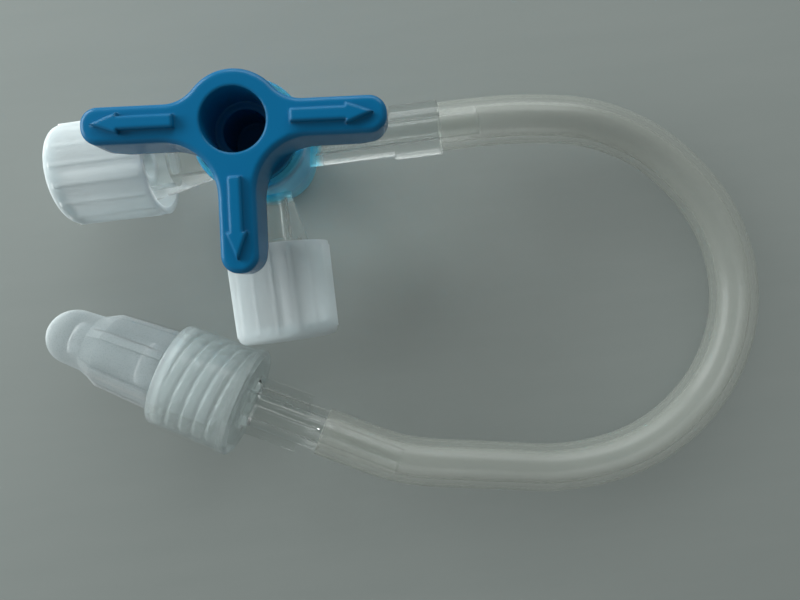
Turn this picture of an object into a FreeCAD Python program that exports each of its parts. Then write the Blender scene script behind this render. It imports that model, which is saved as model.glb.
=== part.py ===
import FreeCAD, Part

import math
import os

# Three way stopcock with a short extension tube, lying on a table.
# The origin is on the barrel's axis at the resting plane. +X runs along the port that carries the tube,
# -X and -Y along the two capped luer ports, and +Z up through the handle. All sizes are in millimetres.

# Barrel and the two luer ports
port_height = 6.0
barrel_diameter = 9.0
barrel_height = 12.0
barrel_edge = 0.3
barrel_foot_wall = 0.6
barrel_rim_step = 0.25
barrel_rim_height = 1.1
channel_diameter = 2.4
port_mouth = 16.0
port_outer_diameter = 6.5
port_root_diameter = 5.5
neck_diameter = 3.8
neck_length = 3.7
luer_mouth_diameter = 4.28
luer_taper = 0.06
luer_depth = 7.5
lug_height = 0.6
lug_thickness = 1.2
lug_setback = 0.4
lug_arc = 84.0

# Port that carries the tube
tube_neck_diameter = 4.2
tube_collar_length = 4.35
tube_collar_diameter = 4.9
tube_seat = 16.15
port_spigot_length = 3.65
spigot_chamfer = 0.3
spigot_wall = 0.55

# Plug, cored from above and below, with a snap bead under the barrel's ledge
plug_top_diameter = 6.2
plug_taper = 0.05
plug_clearance = 0.03
ledge_height = 1.6
bead_height = 0.34
bead_thickness = 0.9
bead_clearance = 0.12
plug_bottom = 0.5
drilling_diameter = 2.4
lower_core_diameter = 3.4
upper_core_diameter = 3.8
drilling_floor = 1.2

# Handle
handle_turn = -4.8
handle_gap = 0.1
flange_diameter = 8.4
flange_thickness = 0.8
flange_overlap = 0.2
handle_depth = 3.9
handle_edge = 0.45
hub_diameter = 7.9
hub_hole_diameter = 5.1
hub_hole_depth = 4.1
arm_reach = 11.7
arm_width = 2.9
arm_end_flat = 0.2
arm_fillet = 4.3
shoulder_fillet = 3.0
tip_cutback = 2.3
tip_cutback_height = 1.4
arrow_height = 0.5
arrow_edge = 0.15
arrow_start = 4.4
arrow_setback = 1.0
arrow_shaft_width = 1.0
arrow_head_width = 1.6
arrow_head_length = 2.1

# Screw caps of the two luer ports
cap_mouth_gap = 0.8
cap_end_wall = 1.35
cap_wall = 0.6
cap_draft = 0.2
cap_edge = 0.7
cap_bore_clearance = 0.15
cap_floor_clearance = 0.2
cap_rib_count = 16
cap_rib_diameter = 0.8
cap_rib_height = 0.12
cap_cone_length = 6.0
cap_cone_core = 2.2
cone_clearance = 0.04
left_cap_backed_off = 0.75

# Tube
tube_diameter = 4.4
tube_wall = 0.7
tube_rest_gap = 0.03
arc_share = 0.45

# Connector at the far end of the tube, whose axis x runs from the tube's seat towards the tip
connector_seat = (1.8, -26.5)
connector_heading = 151.7
connector_spigot_length = 7.7
hub_core_diameter = 3.9
grip_radius = 2.75
grip_thickness = 1.1
grip_rounding = 0.35
side_grip_start = 1.9
top_grip_start = 0.5
grip_end = 7.2
swivel_neck_diameter = 4.7
retainer_step = 0.55
retainer_thickness = 0.8
swivel_play = 0.15
tip_length = 8.2
tip_diameter = 4.0
tip_channel_diameter = 2.1

# Locking collar
collar_floor_thickness = 1.0
collar_setback = 2.3
collar_bore = 8.0
collar_wall = 0.8
collar_draft = 0.3
collar_flange_step = 0.15
collar_flange_width = 0.9
collar_lead_in = 0.3

# Tip cap, a finger-shaped shell with a waist behind its dome and a flared, ribbed skirt up to the collar
tip_cap_mouth_gap = 0.6
tip_cap_collar_gap = 0.3
tip_cap_reach = 9.65
tip_cap_mouth_diameter = 6.4
skirt_diameter = 7.2
skirt_draft = 0.8
skirt_length = 5.8
waist_length = 1.5
waist_diameter = 5.4
dome_diameter = 5.2
tip_cap_wall = 1.1
tip_rib_height = 0.3
tip_rib_width = 0.8
tip_rib_count = 6

# Sizes that follow from the ones above
port_root = barrel_diameter / 2 + neck_length
lug_diameter = port_outer_diameter + 2 * lug_height
lug_start = port_mouth - lug_setback - lug_thickness
luer_floor_diameter = luer_mouth_diameter - luer_taper * luer_depth
tube_bore = tube_diameter - 2 * tube_wall
spigot_diameter = tube_bore
spigot_channel_diameter = spigot_diameter - 2 * spigot_wall
core_floor = port_height + drilling_diameter / 2 + drilling_floor
lower_core_top = port_height - drilling_diameter / 2 - drilling_floor
handle_bottom = barrel_height + handle_gap
handle_under = handle_bottom + flange_thickness
handle_top = handle_under + handle_depth
cap_bore = lug_diameter + 2 * cap_bore_clearance
cap_diameter = cap_bore + 2 * cap_wall
cap_end_diameter = cap_diameter - cap_draft
cap_mouth = port_root + cap_mouth_gap
cap_floor = port_mouth + cap_floor_clearance
cap_end = cap_floor + cap_end_wall
collar_front_diameter = collar_bore + 2 * collar_wall
collar_rear_diameter = collar_front_diameter + collar_draft
collar_flange_diameter = collar_rear_diameter + 2 * collar_flange_step
connector_height = collar_flange_diameter / 2
collar_rear = grip_end + swivel_play
retainer_diameter = swivel_neck_diameter + 2 * retainer_step
retainer_start = collar_rear + collar_floor_thickness + swivel_play
tip_base = retainer_start + retainer_thickness
tip_base_diameter = tip_diameter + luer_taper * tip_length
tip_end = tip_base + tip_length
collar_front = tip_end - collar_setback
skirt_start = collar_front + tip_cap_collar_gap
tip_cap_end = tip_end + tip_cap_reach

# Middle line of the tube between its two seats. The third number of a corner is the share of the rise
# from the table, where the loop rests, up to the port at one end and to the connector at the other.
port_lead = 4.05
connector_lead = 4.2
loop_from_port = [
    (25.1, -0.25, 0.88), (31.2, -1.05, 0.52), (37.5, -4.55, 0.16), (42.4, -11.5, 0.0),
    (43.25, -19.75, 0.0)]
loop_to_connector = [
    (39.85, -27.35, 0.0), (33.1, -32.35, 0.13), (24.75, -33.5, 0.48), (16.85, -31.75, 0.86),
    (9.35, -30.4, 1.0)]


def point(x, z):
    return FreeCAD.Vector(x, 0, z)


def profile(steps):
    """Closed face in the XZ plane. A step is a point (x, z), or an arc's middle and end as two points."""
    edges = []
    start = point(*steps[0])
    for step in steps[1:] + steps[:1]:
        if isinstance(step[0], tuple):
            middle, end = point(*step[0]), point(*step[1])
            edges.append(Part.Arc(start, middle, end).toShape())
        else:
            end = point(*step)
            edges.append(Part.LineSegment(start, end).toShape())
        start = end
    return Part.Face(Part.Wire(edges))


def turned_on_x(steps):
    return profile(steps).revolve(FreeCAD.Vector(), FreeCAD.Vector(1, 0, 0), 360)


def turned_on_z(steps):
    return profile(steps).revolve(FreeCAD.Vector(), FreeCAD.Vector(0, 0, 1), 360)


def rod(diameter, start, end):
    return Part.makeCylinder(diameter / 2, end - start, point(start, 0), FreeCAD.Vector(1, 0, 0))


def cone(start_diameter, end_diameter, start, end):
    at, along = point(start, 0), FreeCAD.Vector(1, 0, 0)
    return Part.makeCone(start_diameter / 2, end_diameter / 2, end - start, at, along)


def spun(shape, degrees):
    """The shape turned about the vertical axis."""
    copy = shape.copy()
    copy.rotate(FreeCAD.Vector(), FreeCAD.Vector(0, 0, 1), degrees)
    return copy


def rolled(shape, degrees):
    """The shape turned about its own X axis."""
    copy = shape.copy()
    copy.rotate(FreeCAD.Vector(), FreeCAD.Vector(1, 0, 0), degrees)
    return copy


def raised(shape, height):
    copy = shape.copy()
    copy.translate(FreeCAD.Vector(0, 0, height))
    return copy


def plug_radius(z):
    return plug_top_diameter / 2 - plug_taper / 2 * (barrel_height - z)


def bead_recess_radius():
    return plug_radius(ledge_height) + bead_height + bead_clearance


def barrel_blank():
    """Outside of the barrel: straight down to the ports' height, then tapered to the wall round the bead."""
    r, e = barrel_diameter / 2, barrel_edge
    foot = bead_recess_radius() + barrel_foot_wall
    rim = r + barrel_rim_step
    rim_start = barrel_height - barrel_rim_height
    return turned_on_z([
        (0, 0), (foot - e, 0), (foot, e), (r, port_height), (r, rim_start - barrel_rim_step),
        (rim, rim_start), (rim, barrel_height - e / 2), (rim - e / 2, barrel_height), (0, barrel_height)])


def barrel_bore():
    """Tapered seat of the plug, and the wider recess for its snap bead."""
    recess = bead_recess_radius()
    ledge = plug_radius(ledge_height) + plug_clearance
    mouth = plug_radius(barrel_height) + plug_clearance
    return turned_on_z([
        (0, 0), (recess, 0), (recess, ledge_height), (ledge, ledge_height),
        (mouth, barrel_height), (0, barrel_height)])


def locking_lug():
    root, crest = port_root_diameter / 2, lug_diameter / 2
    slope = lug_thickness / 4
    section = profile([
        (lug_start, root), (lug_start + slope, crest),
        (lug_start + lug_thickness - slope, crest), (lug_start + lug_thickness, root)])
    lug = section.revolve(FreeCAD.Vector(), FreeCAD.Vector(1, 0, 0), lug_arc)
    return rolled(lug, -lug_arc / 2)


def luer_port():
    """Outside of a female luer port along +X: slim neck, flared socket and two lugs."""
    neck, root, mouth = neck_diameter / 2, port_root_diameter / 2, port_outer_diameter / 2
    body = turned_on_x([
        (0, 0), (0, neck), (barrel_diameter / 2, neck), (port_root, root),
        (port_root + luer_depth / 3, mouth), (port_mouth, mouth), (port_mouth, 0)])
    lug = locking_lug()
    return body.fuse([lug, rolled(lug, 180)])


def luer_bore():
    socket_floor = port_mouth - luer_depth
    socket = cone(luer_floor_diameter, luer_mouth_diameter, socket_floor, port_mouth)
    return socket.fuse(rod(channel_diameter, 0, socket_floor))


def tube_port():
    """Outside of the port for the tube: neck, collar that the tube butts on, and spigot inside the tube."""
    neck, collar, spigot = tube_neck_diameter / 2, tube_collar_diameter / 2, spigot_diameter / 2
    collar_start = tube_seat - tube_collar_length
    end = tube_seat + port_spigot_length
    return turned_on_x([
        (0, 0), (0, neck), (collar_start, neck), (collar_start, collar), (tube_seat, collar),
        (tube_seat, spigot), (end - spigot_chamfer, spigot), (end, spigot - spigot_chamfer), (end, 0)])


def stopcock_body():
    port, bore = luer_port(), luer_bore()
    outside = barrel_blank().fuse([
        raised(spun(port, 180), port_height), raised(spun(port, -90), port_height),
        raised(tube_port(), port_height)])
    tube_channel = rod(spigot_channel_diameter, 0, tube_seat + port_spigot_length)
    inside = barrel_bore().fuse([
        raised(spun(bore, 180), port_height), raised(spun(bore, -90), port_height),
        raised(tube_channel, port_height)])
    return outside.cut(inside).removeSplitter()


def handle_outline():
    """T outline seen from above, with arms along -X, +X and -Y. Its arcs come from the tangent points."""
    half, reach, hub = arm_width / 2, arm_reach, hub_diameter / 2
    end = half - arm_end_flat / 2
    inner = half + arm_fillet
    # centre of the fillet between the hub's round back and an arm's upper edge
    up = half + shoulder_fillet
    across = math.sqrt((hub + shoulder_fillet) ** 2 - up ** 2)
    touch = hub / (hub + shoulder_fillet)

    def v(x, y):
        return FreeCAD.Vector(x, y, 0)

    def line(a, b):
        return Part.LineSegment(v(*a), v(*b)).toShape()

    def arc(centre, radius, start_angle, end_angle):
        x, y = centre
        turns = [math.radians(a) for a in (start_angle, (start_angle + end_angle) / 2, end_angle)]
        return Part.Arc(*[v(x + radius * math.cos(a), y + radius * math.sin(a)) for a in turns]).toShape()

    hub_angle = math.degrees(math.atan2(up, across))
    edges = [
        # right arm, from the inner fillet outwards and back along its upper edge
        line((inner, -half), (reach - end, -half)),
        arc((reach - end, -half + end), end, -90, 0),
        line((reach, -half + end), (reach, half - end)),
        arc((reach - end, half - end), end, 0, 90),
        line((reach - end, half), (across, half)),
        arc((across, up), shoulder_fillet, -90, hub_angle - 180),
        arc((0, 0), hub, hub_angle, 180 - hub_angle),
        arc((-across, up), shoulder_fillet, -hub_angle, -90),
        # left arm
        line((-across, half), (-reach + end, half)),
        arc((-reach + end, half - end), end, 90, 180),
        line((-reach, half - end), (-reach, -half + end)),
        arc((-reach + end, -half + end), end, 180, 270),
        line((-reach + end, -half), (-inner, -half)),
        arc((-inner, -inner), arm_fillet, 90, 0),
        # arm over the side port
        line((-half, -inner), (-half, -reach + end)),
        arc((-half + end, -reach + end), end, 180, 270),
        line((-half + end, -reach), (half - end, -reach)),
        arc((half - end, -reach + end), end, 270, 360),
        line((half, -reach + end), (half, -inner)),
        arc((inner, -inner), arm_fillet, 180, 90),
    ]
    return Part.Wire(Part.__sortEdges__([e for e in edges if e.Length > 1e-4]))


def edges_at(shape, z):
    return [e for e in shape.Edges if abs(e.BoundBox.ZMin - z) < 1e-4 and abs(e.BoundBox.ZMax - z) < 1e-4]


def tip_wedge():
    """What is cut from the underside of an arm's end, so that the tip slants back."""
    start, end, low = arm_reach - tip_cutback, arm_reach + 1, handle_under
    slope = tip_cutback_height / tip_cutback
    wedge = profile([(start, low - 1), (start, low), (end, low + slope * (end - start)), (end, low - 1)])
    wedge.translate(FreeCAD.Vector(0, -arm_width, 0))
    return wedge.extrude(FreeCAD.Vector(0, 2 * arm_width, 0))


def raised_arrow():
    shaft, head = arrow_shaft_width / 2, arrow_head_width / 2
    arrow_end = arm_reach - arrow_setback
    neck = arrow_end - arrow_head_length
    outline = [
        (arrow_start, -shaft), (neck, -shaft), (neck, -head), (arrow_end, 0),
        (neck, head), (neck, shaft), (arrow_start, shaft)]
    corners = [FreeCAD.Vector(x, y, handle_top) for x, y in outline]
    face = Part.Face(Part.makePolygon(corners + corners[:1]))
    arrow = face.extrude(FreeCAD.Vector(0, 0, arrow_height))
    return arrow.makeFillet(arrow_edge, edges_at(arrow, handle_top + arrow_height))


def plug():
    """Tapered plug with its flange above the barrel and its snap bead below the ledge."""
    flange = flange_diameter / 2
    bead_top = plug_bottom + bead_thickness
    bead = plug_radius(bead_top) + bead_height
    neck_top = plug_radius(barrel_height)
    flange_top = handle_under + flange_overlap
    return turned_on_z([
        (0, plug_bottom), (plug_radius(plug_bottom), plug_bottom), (bead, bead_top - bead_thickness / 3),
        (bead, bead_top), (plug_radius(bead_top), bead_top), (neck_top, barrel_height),
        (neck_top, handle_bottom), (flange, handle_bottom), (flange, flange_top), (0, flange_top)])


def handle():
    """T handle and plug, one moulding, with the T-shaped drilling at the height of the ports."""
    grip = Part.Face(handle_outline()).extrude(FreeCAD.Vector(0, 0, handle_depth))
    grip = raised(grip, handle_under)
    headings = (0, 180, -90)
    grip = grip.cut([spun(tip_wedge(), a) for a in headings])
    grip = grip.makeFillet(handle_edge, edges_at(grip, handle_top))
    grip = grip.fuse([spun(raised_arrow(), a) for a in headings] + [plug()]).removeSplitter()
    hole_floor = handle_top - hub_hole_depth
    cores = turned_on_z([
        (0, core_floor), (upper_core_diameter / 2, core_floor), (upper_core_diameter / 2, hole_floor),
        (hub_hole_diameter / 2, hole_floor), (hub_hole_diameter / 2, handle_top), (0, handle_top)])
    base = FreeCAD.Vector(0, 0, plug_bottom)
    lower = Part.makeCylinder(lower_core_diameter / 2, lower_core_top - plug_bottom, base)
    drilling = raised(rod(drilling_diameter, 0, plug_top_diameter), port_height)
    whole = grip.cut([cores, lower] + [spun(drilling, a) for a in headings]).removeSplitter()
    return spun(whole, handle_turn)


def port_cap():
    """Screw cap along +X, with lengthwise grip ribs and the cone that closes the luer socket."""
    mouth, end = cap_mouth, cap_end
    r, r_end, e = cap_diameter / 2, cap_end_diameter / 2, cap_edge
    set_in = e * (1 - math.cos(math.pi / 4))
    shell = turned_on_x([
        (mouth, 0), (mouth, r), (end - e, r_end),
        ((end - set_in, r_end - set_in), (end, r_end - e)), (end, 0)])
    depth = cap_rib_diameter / 2 - cap_rib_height
    start = point(mouth + e / 2, r - depth)
    along = point(end - e, r_end - depth) - start
    rib = Part.makeCylinder(cap_rib_diameter / 2, along.Length, start, along)
    ribs = [rolled(rib, 360 / cap_rib_count * i) for i in range(cap_rib_count)]
    cavity = rod(cap_bore, mouth, cap_floor)
    taper = luer_mouth_diameter - 2 * cone_clearance
    tip = port_mouth - cap_cone_length
    foot = taper + luer_taper * cap_floor_clearance
    stopper = cone(taper - luer_taper * cap_cone_length, foot, tip, cap_floor)
    core = rod(cap_cone_core, tip, port_mouth)
    return shell.fuse(ribs).cut(cavity).fuse(stopper).cut(core).removeSplitter()


def tube_route():
    """Corners of the tube's middle line, from the stopcock to the connector."""
    low = tube_diameter / 2 + tube_rest_gap
    heading = math.radians(connector_heading)
    x, y = connector_seat
    lead_x, lead_y = x - connector_lead * math.cos(heading), y - connector_lead * math.sin(heading)
    first = [(tube_seat, 0, port_height), (tube_seat + port_lead, 0, port_height)]
    out = [(a, b, low + share * (port_height - low)) for a, b, share in loop_from_port]
    back = [(a, b, low + share * (connector_height - low)) for a, b, share in loop_to_connector]
    last = [(lead_x, lead_y, connector_height), (x, y, connector_height)]
    return first + out + back + last


def tube_path(route):
    """Straight runs joined by tangent arcs, each as large as its two runs allow."""
    points = [FreeCAD.Vector(*p) for p in route]
    edges, radii = [], []
    start = points[0]
    for before, corner, after in zip(points, points[1:], points[2:]):
        back = (before - corner).normalize()
        ahead = (after - corner).normalize()
        half_turn = (math.pi - back.getAngle(ahead)) / 2
        cut = arc_share * min((corner - before).Length, (after - corner).Length)
        radius = cut / math.tan(half_turn)
        radii.append(radius)
        middle = corner + (back + ahead).normalize() * (radius / math.cos(half_turn) - radius)
        arc_start, arc_end = corner + back * cut, corner + ahead * cut
        edges.append(Part.LineSegment(start, arc_start).toShape())
        edges.append(Part.Arc(arc_start, middle, arc_end).toShape())
        start = arc_end
    edges.append(Part.LineSegment(start, points[-1]).toShape())
    return Part.Wire(edges), radii


def tube_sweep(path, diameter):
    start, along = path.Edges[0].valueAt(0), path.Edges[0].tangentAt(0)
    ring = Part.Wire(Part.Circle(start, along, diameter / 2).toShape())
    return path.makePipeShell([ring], True, False)


def extension_tube():
    route = tube_route()
    path, radii = tube_path(route)
    tube = tube_sweep(path, tube_diameter).cut(tube_sweep(path, tube_bore))
    section = math.pi / 4 * (tube_diameter ** 2 - tube_bore ** 2)
    print("tube route", [tuple(round(v, 3) for v in p) for p in route])
    print("tube length", round(path.Length, 2), "radii", [round(r, 1) for r in radii])
    print("tube volume", round(tube.Volume, 1), "section by length", round(section * path.Length, 1))
    return tube


def placed_connector(shape):
    """Moves a piece from the connector's own axis to where it lies on the table."""
    laid = spun(shape, connector_heading)
    laid.translate(FreeCAD.Vector(connector_seat[0], connector_seat[1], connector_height))
    return laid


def grip_blade(start):
    corner = FreeCAD.Vector(start, -grip_thickness / 2, 0)
    blade = Part.makeBox(grip_end - start, grip_thickness, grip_radius, corner)
    outer = [e for e in edges_at(blade, grip_radius) if e.BoundBox.XLength > 0]
    return blade.makeFillet(grip_rounding, [e for e in outer if e.BoundBox.YLength < grip_thickness / 2])


def luer_connector():
    spigot, core, neck = spigot_diameter / 2, hub_core_diameter / 2, swivel_neck_diameter / 2
    retainer, base, tip = retainer_diameter / 2, tip_base_diameter / 2, tip_diameter / 2
    end = -connector_spigot_length
    body = turned_on_x([
        (end, 0), (end, spigot - spigot_chamfer), (end + spigot_chamfer, spigot), (0, spigot), (0, core),
        (grip_end - (neck - core), core), (grip_end, neck), (retainer_start, neck),
        (retainer_start, retainer), (tip_base - retainer_thickness / 2, retainer),
        (tip_base, retainer - retainer_thickness / 2),
        (tip_base, base), (tip_end, tip), (tip_end, 0)])
    side, top = grip_blade(side_grip_start), grip_blade(top_grip_start)
    body = body.fuse([rolled(side, 90), rolled(side, -90), top, rolled(top, 180)])
    channel = rod(spigot_channel_diameter, end, 0).fuse(rod(tip_channel_diameter, 0, tip_end))
    return placed_connector(body.cut(channel).removeSplitter())


def locking_collar():
    front, rear, flange = collar_front_diameter / 2, collar_rear_diameter / 2, collar_flange_diameter / 2
    bore, hole = collar_bore / 2, swivel_neck_diameter / 2 + swivel_play
    floor = collar_rear + collar_floor_thickness
    lead = collar_lead_in
    collar = turned_on_x([
        (collar_rear, hole), (collar_rear, flange - lead), (collar_rear + lead, flange),
        (collar_rear + collar_flange_width, flange), (collar_rear + collar_flange_width, rear),
        (collar_front - lead, front), (collar_front, front - lead), (collar_front, bore + lead),
        (collar_front - lead, bore), (floor, bore), (floor, hole)])
    return placed_connector(collar)


def tip_cap():
    """Finger-shaped protector: domed end, waist, and a flared skirt with lengthwise ribs up to the collar."""
    mouth = tip_base + tip_cap_mouth_gap
    r_mouth, r_waist, r_end = tip_cap_mouth_diameter / 2, waist_diameter / 2, dome_diameter / 2
    r_skirt, r_skirt_end = skirt_diameter / 2, (skirt_diameter - skirt_draft) / 2
    skirt_end = skirt_start + skirt_length
    waist, dome = skirt_end + waist_length, tip_cap_end - r_end
    shell = turned_on_x([
        (mouth, 0), (mouth, r_mouth), (skirt_start, r_mouth), (skirt_start, r_skirt),
        (skirt_end, r_skirt_end), (waist, r_waist), (dome, r_end),
        ((dome + r_end * math.sin(math.pi / 4), r_end * math.cos(math.pi / 4)), (tip_cap_end, 0))])
    ribs = []
    for i in range(tip_rib_count):
        side = profile([
            (skirt_start, 0), (skirt_start, r_skirt + tip_rib_height),
            (skirt_end, r_skirt_end + tip_rib_height), (waist, r_waist), (waist, 0)])
        side.translate(FreeCAD.Vector(0, -tip_rib_width / 2, 0))
        rib = side.extrude(FreeCAD.Vector(0, tip_rib_width, 0))
        ribs.append(rolled(rib, 360 / tip_rib_count * (i + 0.5)))
    socket = cone(
        tip_base_diameter + 2 * cone_clearance, tip_diameter + 2 * cone_clearance, tip_base, tip_end)
    relief = rod(tip_diameter + 2 * cone_clearance, tip_end, tip_end + cap_floor_clearance)
    cavity = rod(dome_diameter - 2 * tip_cap_wall, tip_end, dome)
    return placed_connector(shell.fuse(ribs).cut([socket, relief, cavity]).removeSplitter())


def placed_cap(heading, backed_off):
    """A port cap on the port of that heading, unscrewed by the distance backed_off."""
    cap = port_cap()
    cap.translate(FreeCAD.Vector(backed_off, 0, port_height))
    return spun(cap, heading)


def write_parts():
    pieces = {
        "stopcock_body": stopcock_body(),
        "handle": handle(),
        "left_port_cap": placed_cap(180, left_cap_backed_off),
        "side_port_cap": placed_cap(-90, 0),
        "extension_tube": extension_tube(),
        "luer_connector": luer_connector(),
        "locking_collar": locking_collar(),
        "tip_cap": tip_cap(),
    }
    os.makedirs("parts", exist_ok=True)
    for name, shape in pieces.items():
        solid = shape.Solids[0] if len(shape.Solids) == 1 else shape
        box = solid.BoundBox
        print(name, "solids", len(shape.Solids), "valid", shape.isValid(), "volume", round(shape.Volume, 1),
              "low", [round(v, 2) for v in (box.XMin, box.YMin, box.ZMin)],
              "high", [round(v, 2) for v in (box.XMax, box.YMax, box.ZMax)])
        solid.exportStep("parts/" + name + ".step")


write_parts()
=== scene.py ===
import math

import bmesh
import bpy
from mathutils import Matrix, Vector


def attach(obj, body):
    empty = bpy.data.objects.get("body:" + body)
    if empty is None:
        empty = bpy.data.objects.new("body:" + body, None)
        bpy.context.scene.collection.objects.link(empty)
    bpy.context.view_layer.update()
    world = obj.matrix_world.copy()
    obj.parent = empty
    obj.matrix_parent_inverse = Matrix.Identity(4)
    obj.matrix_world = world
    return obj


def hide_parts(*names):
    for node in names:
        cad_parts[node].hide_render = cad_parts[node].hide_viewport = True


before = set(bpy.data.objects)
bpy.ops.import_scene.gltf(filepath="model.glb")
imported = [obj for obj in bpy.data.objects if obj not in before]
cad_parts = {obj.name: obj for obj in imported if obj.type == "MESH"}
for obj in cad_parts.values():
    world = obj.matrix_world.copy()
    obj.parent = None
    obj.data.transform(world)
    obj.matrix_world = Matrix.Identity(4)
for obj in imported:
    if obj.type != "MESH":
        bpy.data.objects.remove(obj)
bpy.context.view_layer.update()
scene = bpy.context.scene
scene.view_settings.view_transform = "Standard"

# Sizes below are in millimetres, as on the maker's drawing.
MM = 0.001

# Table
# The part lies on a plain matt table top. Its grey-green tone runs a little unevenly, with faint wiping
# streaks, and the top is much wider than the view.
table_size, table_centre, table_drop = 0.6, (0.0105, -0.0153), 0.00002
streak_angle, streak_stretch = 24, (14, 90, 1)
table_colour = (0.220, 0.243, 0.235)
table_streak_colour = (0.238, 0.260, 0.251)


def tree_tools(tree):
    """Quick ways to add a node with its settings and input values, and to join two sockets."""
    def add(kind, **settings):
        node = tree.nodes.new(kind)
        for key, value in settings.items():
            if key in node.inputs:
                node.inputs[key].default_value = value
            else:
                setattr(node, key, value)
        return node

    def join(source, target):
        tree.links.new(source, target)

    return add, join


def blank_material(name):
    """A material with only its Principled shader wired up, and the ways to add and join its nodes."""
    material = bpy.data.materials.new(name)
    material.use_nodes = True
    return material, material.node_tree.nodes["Principled BSDF"], *tree_tools(material.node_tree)


table_mesh = bpy.data.meshes.new("table_top")
table_bm = bmesh.new()
bmesh.ops.create_grid(table_bm, x_segments=24, y_segments=24, size=table_size / 2)
table_bm.to_mesh(table_mesh)
table_bm.free()
table = bpy.data.objects.new("table_top", table_mesh)
scene.collection.objects.link(table)
table.location = (*table_centre, -table_drop)

table_material, table_shader, add, join = blank_material("table_surface")
place = add("ShaderNodeTexCoord")
stretch = add("ShaderNodeMapping")
stretch.inputs["Rotation"].default_value = (0, 0, math.radians(streak_angle))
stretch.inputs["Scale"].default_value = streak_stretch
streaks = add("ShaderNodeTexNoise", Scale=4.0, Detail=4.0, Roughness=0.6)
streak_tone = add("ShaderNodeMix", data_type="RGBA")
streak_tone.inputs["A"].default_value = (*table_colour, 1)
streak_tone.inputs["B"].default_value = (*table_streak_colour, 1)
join(place.outputs["Object"], stretch.inputs["Vector"])
join(stretch.outputs["Vector"], streaks.inputs["Vector"])
join(streaks.outputs["Fac"], streak_tone.inputs["Factor"])
join(streak_tone.outputs["Result"], table_shader.inputs["Base Color"])
table_shader.inputs["Roughness"].default_value = 0.75
table_shader.inputs["Specular IOR Level"].default_value = 0.2
table.data.materials.append(table_material)

# Moulding finish
# Every rigid piece comes out of a steel mould, so all of them share a faint flow mottle, a fine, shallow
# surface grain and softly rounded corners. The group gives these as plain values for the materials to use.
flow_scale, grain_scale = 350.0, 9000.0
grain_depth = 0.02


def blank_group(name, taken, given):
    """A node group with the sockets that it takes and gives, each as a name and a kind. Returns the group,
    the ways to add and join its nodes, and the nodes that stand for its two sides."""
    group = bpy.data.node_groups.new(name, "ShaderNodeTree")
    for side, sockets in (("INPUT", taken), ("OUTPUT", given)):
        for socket_name, kind in sockets:
            group.interface.new_socket(name=socket_name, in_out=side, socket_type="NodeSocket" + kind)
    add, join = tree_tools(group)
    return group, add, join, add("NodeGroupInput"), add("NodeGroupOutput")


def moulding_finish():
    """Node group: Flow, a slow uneven value from 0 to 1, Grain, a fine one for roughness and bump, and
    Corner, the surface normal with the corners rounded to the radius Edge."""
    given = [("Flow", "Float"), ("Grain", "Float"), ("Corner", "Vector")]
    group, add, join, inputs, outputs = blank_group("moulding_finish", [("Edge", "Float")], given)
    place = add("ShaderNodeTexCoord")
    for scale, detail, name in ((flow_scale, 3.0, "Flow"), (grain_scale, 2.0, "Grain")):
        texture = add("ShaderNodeTexNoise", Scale=scale, Detail=detail)
        join(place.outputs["Object"], texture.inputs["Vector"])
        join(texture.outputs["Fac"], outputs.inputs[name])
    corner = add("ShaderNodeBevel", samples=6)
    join(inputs.outputs["Edge"], corner.inputs["Radius"])
    join(corner.outputs["Normal"], outputs.inputs["Corner"])
    return group


moulding_group = moulding_finish()


def moulded_material(name, colours, roughness, bump, edge=0.0):
    """Plastic whose colour drifts between two tones along the flow, with a fine grain in gloss and bump.
    Edge is the radius in millimetres that the mould leaves on its sharp corners. Returns the material, its
    shader, the ways to add and join nodes, and the nodes that a section may wire further."""
    material, shader, add, join = blank_material(name)
    finish = add("ShaderNodeGroup", node_tree=moulding_group)
    tone = add("ShaderNodeMix", data_type="RGBA")
    tone.inputs["A"].default_value = (*colours[0], 1)
    tone.inputs["B"].default_value = (*colours[1], 1)
    gloss = add("ShaderNodeMapRange")
    gloss.inputs["To Min"].default_value = roughness[0]
    gloss.inputs["To Max"].default_value = roughness[1]
    relief = add("ShaderNodeBump", Strength=bump, Distance=grain_depth * MM)
    join(finish.outputs["Flow"], tone.inputs["Factor"])
    join(finish.outputs["Grain"], gloss.inputs["Value"])
    join(finish.outputs["Grain"], relief.inputs["Height"])
    join(tone.outputs["Result"], shader.inputs["Base Color"])
    join(gloss.outputs["Result"], shader.inputs["Roughness"])
    join(relief.outputs["Normal"], shader.inputs["Normal"])
    finish.inputs["Edge"].default_value = edge * MM
    join(finish.outputs["Corner"], relief.inputs["Normal"])
    made = {"finish": finish, "tone": tone, "gloss": gloss, "relief": relief}
    return material, shader, add, join, made


def dress(piece, material):
    """Puts the material in every slot of the piece."""
    slots = piece.data.materials
    if not len(slots):
        slots.append(material)
    for i in range(len(slots)):
        slots[i] = material


# Stopcock body
# One clear moulding in stiff transparent plastic: the upright barrel with its three ports. Its wall
# magnifies the blue plug that fits tightly in it, so the barrel looks pale blue all over. That blue view of
# the plug is a painted refraction: it is painted into the barrel wall's own colour, and the barrel also
# gets a hazier gloss.


def lit_through(shader, add, join, cover, passed):
    """Lets the share passed of the light go straight on to what lies behind, so the shadow stays pale.
    Cover is how much the wall hides from the eye, as a number or a node's output."""
    path = add("ShaderNodeLightPath")
    kept = add("ShaderNodeMath", operation="MULTIPLY_ADD")
    kept.inputs[1].default_value = -passed
    kept.inputs[2].default_value = 1.0
    hidden = add("ShaderNodeMath", operation="MULTIPLY")
    join(path.outputs["Is Shadow Ray"], kept.inputs[0])
    join(kept.outputs["Value"], hidden.inputs[0])
    if isinstance(cover, float):
        hidden.inputs[1].default_value = cover
    else:
        join(cover, hidden.inputs[1])
    join(hidden.outputs["Value"], shader.inputs["Alpha"])


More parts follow.
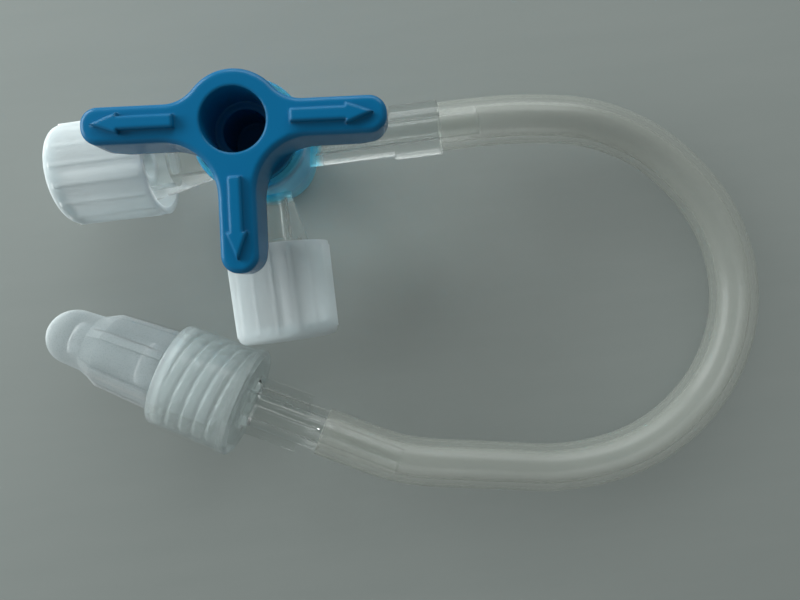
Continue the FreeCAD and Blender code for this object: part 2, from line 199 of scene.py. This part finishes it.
clear_colours = ((0.87, 0.885, 0.875), (0.915, 0.93, 0.92))
# Painted refraction: the blue of the magnified plug, painted into the clear wall's colour inside the
# barrel.
painted_plug_blue, barrel_roughness = (0.17, 0.78, 0.98), 0.55
barrel_wall, beyond_wall = 4.6, 5.2
clear_material, clear_shader, add, join, made = moulded_material(
    "clear_rigid_plastic", clear_colours, (0.10, 0.16), 0.05)
clear_shader.inputs["Transmission Weight"].default_value = 1.0
clear_shader.inputs["IOR"].default_value = 1.18
clear_shader.inputs["Coat Weight"].default_value = 0.4
clear_shader.inputs["Coat Roughness"].default_value = 0.06
place = add("ShaderNodeTexCoord")
flatten = add("ShaderNodeVectorMath", operation="MULTIPLY")
flatten.inputs[1].default_value = (1, 1, 0)
from_axis = add("ShaderNodeVectorMath", operation="LENGTH")
in_barrel = add("ShaderNodeMapRange")
in_barrel.inputs["From Min"].default_value = barrel_wall * MM
in_barrel.inputs["From Max"].default_value = beyond_wall * MM
in_barrel.inputs["To Min"].default_value = 1.0
in_barrel.inputs["To Max"].default_value = 0.0
# Mixes the painted plug blue into the clear colour wherever the point lies within the barrel.
painted_plug_view = add("ShaderNodeMix", data_type="RGBA")
painted_plug_view.inputs["B"].default_value = (*painted_plug_blue, 1)
join(place.outputs["Object"], flatten.inputs[0])
join(flatten.outputs["Vector"], from_axis.inputs[0])
join(from_axis.outputs["Value"], in_barrel.inputs["Value"])
join(in_barrel.outputs["Result"], painted_plug_view.inputs["Factor"])
join(made["tone"].outputs["Result"], painted_plug_view.inputs["A"])
join(painted_plug_view.outputs["Result"], clear_shader.inputs["Base Color"])
hazy = add("ShaderNodeMix", data_type="FLOAT")
hazy.inputs["B"].default_value = barrel_roughness
join(in_barrel.outputs["Result"], hazy.inputs["Factor"])
join(made["gloss"].outputs["Result"], hazy.inputs["A"])
join(hazy.outputs["Result"], clear_shader.inputs["Roughness"])
lit_through(clear_shader, add, join, 1.0, 0.94)
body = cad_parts["stopcock_body"]
dress(body, clear_material)

# Handle
# The T handle and the plug under it are one opaque blue moulding, glossy, with a raised flow arrow on each
# arm. The plug goes down inside the clear barrel.
blue_colours = ((0.0015, 0.110, 0.250), (0.002, 0.124, 0.280))
blue_material, blue_shader, add, join, made = moulded_material(
    "blue_handle_plastic", blue_colours, (0.20, 0.25), 0.03, edge=0.35)
blue_shader.inputs["Specular IOR Level"].default_value = 0.2
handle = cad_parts["handle"]
dress(handle, blue_material)

# Port caps
# Frosted white screw caps on the two luer ports, thin-walled mouldings in soft translucent plastic with
# lengthwise grip ribs. The closed end is solid and looks whiter, and the skirt lets the port show through.


def waxy_normal():
    """Node group: light soaks through waxy plastic, so its ribs and its shaded side show only weakly. It
    takes the share Calm of the swing round the axis out of the normal, and leans it upwards by Lift."""
    vectors = [(name, "Vector") for name in ("Normal", "Axis", "Centre")]
    group, add, join, inputs, outputs = blank_group(
        "waxy_normal", vectors + [("Calm", "Float"), ("Lift", "Float")], [("Normal", "Vector")])
    place = add("ShaderNodeTexCoord")

    def step(operation, *sources):
        node = add("ShaderNodeVectorMath", operation=operation)
        for socket, source in zip(node.inputs, sources):
            join(source, socket)
        return node

    out_from_axis = step("SUBTRACT", place.outputs["Object"], inputs.outputs["Centre"])
    round_axis = step("CROSS_PRODUCT", inputs.outputs["Axis"], out_from_axis.outputs["Vector"])
    in_world = add("ShaderNodeVectorTransform", convert_from="OBJECT", convert_to="WORLD")
    join(round_axis.outputs["Vector"], in_world.inputs["Vector"])
    tangent = step("NORMALIZE", in_world.outputs["Vector"])
    swing = step("DOT_PRODUCT", inputs.outputs["Normal"], tangent.outputs["Vector"])
    taken = add("ShaderNodeMath", operation="MULTIPLY")
    join(swing.outputs["Value"], taken.inputs[0])
    join(inputs.outputs["Calm"], taken.inputs[1])
    excess = step("SCALE", tangent.outputs["Vector"])
    join(taken.outputs["Value"], excess.inputs["Scale"])
    remainder = step("SUBTRACT", inputs.outputs["Normal"], excess.outputs["Vector"])
    calm = step("NORMALIZE", remainder.outputs["Vector"])
    upwards = add("ShaderNodeCombineXYZ")
    join(inputs.outputs["Lift"], upwards.inputs["Z"])
    leaning = step("ADD", calm.outputs["Vector"], upwards.outputs["Vector"])
    whole = step("NORMALIZE", leaning.outputs["Vector"])
    join(whole.outputs["Vector"], outputs.inputs["Normal"])
    return group


waxy_group = waxy_normal()


def soften(add, join, made, centre, calm, lift):
    """Puts the waxy normal between the corner rounding and the grain, and returns its node."""
    waxy = add("ShaderNodeGroup", node_tree=waxy_group)
    waxy.inputs["Centre"].default_value = centre
    waxy.inputs["Calm"].default_value = calm
    waxy.inputs["Lift"].default_value = lift
    join(made["finish"].outputs["Corner"], waxy.inputs["Normal"])
    join(waxy.outputs["Normal"], made["relief"].inputs["Normal"])
    return waxy


cap_colours = ((0.365, 0.42, 0.435), (0.395, 0.45, 0.465))
cap_end_colour = (0.455, 0.52, 0.54)
cap_skirt_reach, cap_end_reach = 8.5, 18.0
skirt_cover, end_cover = 0.36, 0.97
port_axis_height = 6.0
cap_material, cap_shader, add, join, made = moulded_material(
    "frosted_cap_plastic", cap_colours, (0.40, 0.50), 0.05, edge=0.9)
cap_shader.inputs["Subsurface Weight"].default_value = 1.0
cap_shader.inputs["Subsurface Radius"].default_value = (1.0, 1.0, 1.0)
cap_shader.inputs["Subsurface Scale"].default_value = 0.0030
place = add("ShaderNodeTexCoord")
from_barrel = add("ShaderNodeVectorMath", operation="LENGTH")
thick_end = add("ShaderNodeMapRange", interpolation_type="SMOOTHSTEP")
thick_end.inputs["From Min"].default_value = cap_skirt_reach * MM
thick_end.inputs["From Max"].default_value = cap_end_reach * MM
whiter = add("ShaderNodeMix", data_type="RGBA")
whiter.inputs["B"].default_value = (*cap_end_colour, 1)
cover = add("ShaderNodeMapRange")
cover.inputs["To Min"].default_value = skirt_cover
cover.inputs["To Max"].default_value = end_cover
join(place.outputs["Object"], from_barrel.inputs[0])
join(from_barrel.outputs["Value"], thick_end.inputs["Value"])
join(thick_end.outputs["Result"], whiter.inputs["Factor"])
join(made["tone"].outputs["Result"], whiter.inputs["A"])
join(whiter.outputs["Result"], cap_shader.inputs["Base Color"])
join(thick_end.outputs["Result"], cover.inputs["Value"])
lit_through(cap_shader, add, join, cover.outputs["Result"], 0.94)
waxy = soften(add, join, made, (0, 0, port_axis_height * MM), calm=0.95, lift=1.7)
sides = add("ShaderNodeSeparateXYZ")
along_x = add("ShaderNodeMath", operation="ABSOLUTE")
along_y = add("ShaderNodeMath", operation="ABSOLUTE")
on_left_port = add("ShaderNodeMath", operation="GREATER_THAN")
axis = add("ShaderNodeMix", data_type="VECTOR")
side_port_axis, left_port_axis, chosen_axis = axis.inputs[4], axis.inputs[5], axis.outputs[1]
side_port_axis.default_value = (0, 1, 0)
left_port_axis.default_value = (1, 0, 0)
join(place.outputs["Object"], sides.inputs["Vector"])
join(sides.outputs["X"], along_x.inputs[0])
join(sides.outputs["Y"], along_y.inputs[0])
join(along_x.outputs["Value"], on_left_port.inputs[0])
join(along_y.outputs["Value"], on_left_port.inputs[1])
join(on_left_port.outputs["Value"], axis.inputs["Factor"])
join(chosen_axis, waxy.inputs["Axis"])
for node_name in ("left_port_cap", "side_port_cap"):
    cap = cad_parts[node_name]
    dress(cap, cap_material)

# Connector
# Clear rigid moulding at the tube's far end: spigot, finger grips, the neck that the collar spins on, and
# the male cone under the tip cap. It is the same plastic as the stopcock body.
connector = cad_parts["luer_connector"]
dress(connector, clear_material)

# Locking collar
# Frosted translucent collar that spins on the connector. Its double thread shows through the wall, and the
# plain band in front of it is whiter. The collar's own axis x runs from the tube's seat towards the tip.
connector_seat, connector_heading, connector_height = (1.8, -26.5), 151.7, 5.1
collar_rear, collar_floor, collar_front = 7.35, 8.35, 15.2
collar_hole, collar_bore = 2.5, 4.0
collar_outline = [
    (collar_rear, collar_hole), (collar_rear, 4.8), (collar_rear + 0.3, 5.1), (collar_rear + 0.9, 5.1),
    (collar_rear + 0.9, 4.93), (collar_front - 0.3, 4.8), (collar_front - 0.09, 4.71), (collar_front, 4.5),
    (collar_front, collar_bore + 0.3), (collar_front - 0.3, collar_bore)]
thread_start, thread_end = 14.3, 8.7
thread_pitch, thread_starts, thread_height = 1.25, 2, 0.22
collar_sides, thread_rings = 144, 130
on_connector = (
    Matrix.Translation(Vector((*connector_seat, connector_height)) * MM)
    @ Matrix.Rotation(math.radians(connector_heading), 4, "Z"))


def collar_radius(x, turn):
    """Radius of the bore wall at x and at that share of a turn. The thread runs out at both ends."""
    run_out = min(1.0, max(0.0, (thread_start - x) / 0.3), max(0.0, (x - thread_end) / 0.3))
    wave = 0.5 + 0.5 * math.cos(2 * math.pi * (x / thread_pitch + thread_starts * turn))
    return collar_bore - thread_height * wave ** 4 * run_out


def threaded_collar():
    """The collar as one closed mesh: plain outside, threaded bore, floor and hole."""
    bm = bmesh.new()
    step = (collar_front - 0.3 - collar_floor) / thread_rings
    bore = [collar_front - 0.3 - step * (i + 1) for i in range(thread_rings)]
    rings = []
    for x, radius in collar_outline + [(x, None) for x in bore] + [(collar_floor, collar_hole)]:
        ring = []
        for i in range(collar_sides):
            r = collar_radius(x, i / collar_sides) if radius is None else radius
            turn = 2 * math.pi * i / collar_sides
            ring.append(bm.verts.new(Vector((x, r * math.cos(turn), r * math.sin(turn))) * MM))
        rings.append(ring)
    for a, b in zip(rings, rings[1:] + rings[:1]):
        for i in range(collar_sides):
            j = (i + 1) % collar_sides
            bm.faces.new((a[i], a[j], b[j], b[i]))
    bmesh.ops.recalc_face_normals(bm, faces=bm.faces)
    bm.transform(on_connector)
    mesh = bpy.data.meshes.new("threaded_collar")
    bm.to_mesh(mesh)
    bm.free()
    mesh.shade_smooth()
    mesh.set_sharp_from_angle(angle=math.radians(40))
    piece = bpy.data.objects.new("threaded_collar", mesh)
    scene.collection.objects.link(piece)
    return piece


frosted_colours = ((0.54, 0.595, 0.595), (0.58, 0.635, 0.635))
band_colour, band_start, band_blend = (0.79, 0.855, 0.86), 14.2, 0.1
collar_material, collar_shader, add, join, made = moulded_material(
    "frosted_collar_plastic", frosted_colours, (0.14, 0.2), 0.08)
collar_shader.inputs["Transmission Weight"].default_value = 0.75
collar_shader.inputs["IOR"].default_value = 1.15
collar_shader.inputs["Coat Weight"].default_value = 0.3
collar_shader.inputs["Coat Roughness"].default_value = 0.25
lit_through(collar_shader, add, join, 1.0, 0.92)
place = add("ShaderNodeTexCoord")
on_axis = add("ShaderNodeMapping", vector_type="TEXTURE")
on_axis.inputs["Location"].default_value = on_connector.to_translation()
on_axis.inputs["Rotation"].default_value = on_connector.to_euler()
along = add("ShaderNodeSeparateXYZ")
in_band = add("ShaderNodeMapRange")
in_band.inputs["From Min"].default_value = band_start * MM
in_band.inputs["From Max"].default_value = (band_start + band_blend) * MM
banded = add("ShaderNodeMix", data_type="RGBA")
banded.inputs["B"].default_value = (*band_colour, 1)
join(place.outputs["Object"], on_axis.inputs["Vector"])
join(on_axis.outputs["Vector"], along.inputs["Vector"])
join(along.outputs["X"], in_band.inputs["Value"])
join(in_band.outputs["Result"], banded.inputs["Factor"])
join(made["tone"].outputs["Result"], banded.inputs["A"])
join(banded.outputs["Result"], collar_shader.inputs["Base Color"])
collar = threaded_collar()
dress(collar, collar_material)
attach(collar, "collar")
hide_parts("locking_collar")

# Tip cap
# Finger-shaped protector over the male cone, in a cloudier plastic than the collar. Its ribs run from the
# collar to the waist, and the cone inside shows only faintly.


def veil(add, join, face_on, edge_on):
    """Cover of a cloudy wall: face_on where it faces the eye, edge_on where the eye looks along it."""
    facing = add("ShaderNodeLayerWeight", Blend=0.35)
    cover = add("ShaderNodeMapRange")
    cover.inputs["To Min"].default_value = face_on
    cover.inputs["To Max"].default_value = edge_on
    join(facing.outputs["Facing"], cover.inputs["Value"])
    return cover.outputs["Result"]


tip_colours = ((0.35, 0.40, 0.413), (0.39, 0.44, 0.453))
tip_material, tip_shader, add, join, made = moulded_material(
    "cloudy_tip_plastic", tip_colours, (0.24, 0.32), 0.05, edge=1.0)
tip_shader.inputs["Subsurface Weight"].default_value = 1.0
tip_shader.inputs["Subsurface Radius"].default_value = (1.0, 1.0, 1.0)
tip_shader.inputs["Subsurface Scale"].default_value = 0.005
lit_through(tip_shader, add, join, veil(add, join, 0.62, 0.80), 0.92)
waxy = soften(add, join, made, on_connector.to_translation(), calm=0.9, lift=2.0)
waxy.inputs["Axis"].default_value = on_connector.to_3x3() @ Vector((1, 0, 0))
tip_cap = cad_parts["tip_cap"]
dress(tip_cap, tip_material)

# Extension tube
# Short length of soft clear tubing, slightly cloudy, pushed over the spigots of the body and the connector.
# It leaves the body straight, comes down to the table and loops back up into the connector.
tube_diameter, tube_bore = 4.4, 3.0
tube_route = [
    (16.15, 0, 6.0), (20.2, 0, 6.0), (25.1, -0.25, 5.548), (31.2, -1.05, 4.19), (37.5, -4.55, 2.833),
    (42.4, -11.5, 2.23), (43.25, -19.75, 2.23), (39.85, -27.35, 2.23), (33.1, -32.35, 2.603),
    (24.75, -33.5, 3.608), (16.85, -31.75, 4.698), (9.35, -30.4, 5.1), (5.498, -28.491, 5.1),
    (1.8, -26.5, 5.1)]
line_data = bpy.data.curves.new("tube_line", "CURVE")
line_data.dimensions = "3D"
line = line_data.splines.new("NURBS")
line.points.add(len(tube_route) - 1)
for spot, (x, y, z) in zip(line.points, tube_route):
    spot.co = (x * MM, y * MM, z * MM, 1)
line.order_u = 3
line.use_endpoint_u = True
line_data.resolution_u = 12
line_object = bpy.data.objects.new("tube_line", line_data)
scene.collection.objects.link(line_object)
bpy.context.view_layer.update()
line_mesh = bpy.data.meshes.new_from_object(line_object)
tube_path = [v.co.copy() for v in line_mesh.vertices]
bpy.data.objects.remove(line_object)


def swept_wall(name, path, outer, bore, sides=40):
    """Hollow round wall along the path: outside, bore and a flat ring at each end, as one closed mesh."""
    tangents = [(b - a).normalized() for a, b in zip(path, path[1:])]
    between = [(a + b).normalized() for a, b in zip(tangents, tangents[1:])]
    tangents = [tangents[0]] + between + [tangents[-1]]
    across = tangents[0].orthogonal().normalized()
    bm = bmesh.new()
    rings = []
    for spot, along in zip(path, tangents):
        across = (across - along * across.dot(along)).normalized()
        side = along.cross(across)
        ring = []
        for radius in (outer / 2, bore / 2):
            for i in range(sides):
                turn = 2 * math.pi * i / sides
                ring.append(bm.verts.new(spot + (across * math.cos(turn) + side * math.sin(turn)) * radius))
        rings.append(ring)
    for a, b in zip(rings, rings[1:]):
        for i in range(sides):
            j = (i + 1) % sides
            bm.faces.new((a[i], a[j], b[j], b[i]))
            bm.faces.new((a[sides + j], a[sides + i], b[sides + i], b[sides + j]))
    for i in range(sides):
        j = (i + 1) % sides
        bm.faces.new((rings[0][j], rings[0][i], rings[0][sides + i], rings[0][sides + j]))
        bm.faces.new((rings[-1][i], rings[-1][j], rings[-1][sides + j], rings[-1][sides + i]))
    mesh = bpy.data.meshes.new(name)
    bmesh.ops.recalc_face_normals(bm, faces=bm.faces)
    bm.to_mesh(mesh)
    bm.free()
    mesh.shade_smooth()
    mesh.set_sharp_from_angle(angle=math.radians(50))
    piece = bpy.data.objects.new(name, mesh)
    scene.collection.objects.link(piece)
    return piece


tube = swept_wall("soft_tube", tube_path, tube_diameter * MM, tube_bore * MM)
tube_colours = ((0.30, 0.32, 0.292), (0.335, 0.356, 0.326))
tube_material, tube_shader, add, join, made = moulded_material(
    "soft_clear_tubing", tube_colours, (0.22, 0.32), 0.05)
tube_shader.inputs["Coat Weight"].default_value = 0.6
tube_shader.inputs["Coat Roughness"].default_value = 0.3
lit_through(tube_shader, add, join, veil(add, join, 0.22, 0.78), 0.85)
dress(tube, tube_material)
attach(tube, "stopcock")
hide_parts("extension_tube")

# Light and camera
# Soft daylight from a window at the left of the view and a second one beyond the part, and the fill of a
# pale room that is darkest overhead and away from the windows. The camera looks down from close above.
room_side, room_overhead, dimming_starts = 0.53, 0.13, 0.6
window_side, far_side, window_direction = 1.35, 0.5, (-0.83, 0.55, 0)
world = bpy.data.worlds.new("room")
scene.world = world
world.use_nodes = True
room = world.node_tree.nodes["Background"]
room.inputs["Color"].default_value = (0.97, 1.0, 0.96, 1)
add, join = tree_tools(world.node_tree)
direction = add("ShaderNodeTexCoord")
upward = add("ShaderNodeSeparateXYZ")
level = add("ShaderNodeMapRange")
level.inputs["From Min"].default_value = dimming_starts
level.inputs["From Max"].default_value = 1.0
level.inputs["To Min"].default_value = room_side
level.inputs["To Max"].default_value = room_overhead
towards = add("ShaderNodeVectorMath", operation="DOT_PRODUCT")
towards.inputs[1].default_value = window_direction
bias = add("ShaderNodeMapRange")
bias.inputs["From Min"].default_value = -1.0
bias.inputs["To Min"].default_value = far_side
bias.inputs["To Max"].default_value = window_side
strength = add("ShaderNodeMath", operation="MULTIPLY")
join(direction.outputs["Generated"], upward.inputs["Vector"])
join(upward.outputs["Z"], level.inputs["Value"])
join(direction.outputs["Generated"], towards.inputs[0])
join(towards.outputs["Value"], bias.inputs["Value"])
join(bias.outputs["Result"], strength.inputs[0])
join(level.outputs["Result"], strength.inputs[1])
join(strength.outputs["Value"], room.inputs["Strength"])


def soft_lamp(name, place, target, size, watts, colour):
    data = bpy.data.lights.new(name, "AREA")
    data.shape = "RECTANGLE"
    data.size, data.size_y = size
    data.energy = watts
    data.color = colour
    lamp = bpy.data.objects.new(name, data)
    lamp.location = place
    lamp.rotation_euler = (Vector(target) - Vector(place)).to_track_quat("-Z", "Y").to_euler()
    scene.collection.objects.link(lamp)
    return lamp


soft_lamp("window", (-0.225, 0.125, 0.114), (0.01, -0.015, 0), (0.30, 0.11), 1.05, (0.95, 1.0, 1.0))
soft_lamp("far window", (0.07, 0.24, 0.12), (0.02, -0.01, 0), (0.30, 0.14), 0.55, (0.95, 1.0, 1.0))

camera_data = bpy.data.cameras.new("camera")
camera_data.sensor_width = 36
camera_data.lens = 29.7
camera_data.clip_start = 0.002
camera_data.shift_x, camera_data.shift_y = -0.0198, -0.0082
camera = bpy.data.objects.new("camera", camera_data)
camera.location = (0.01204, -0.0149, 0.0667)
camera.rotation_euler = (0, 0, math.radians(-7.5))
scene.collection.objects.link(camera)
scene.camera = camera

bpy.context.view_layer.update()
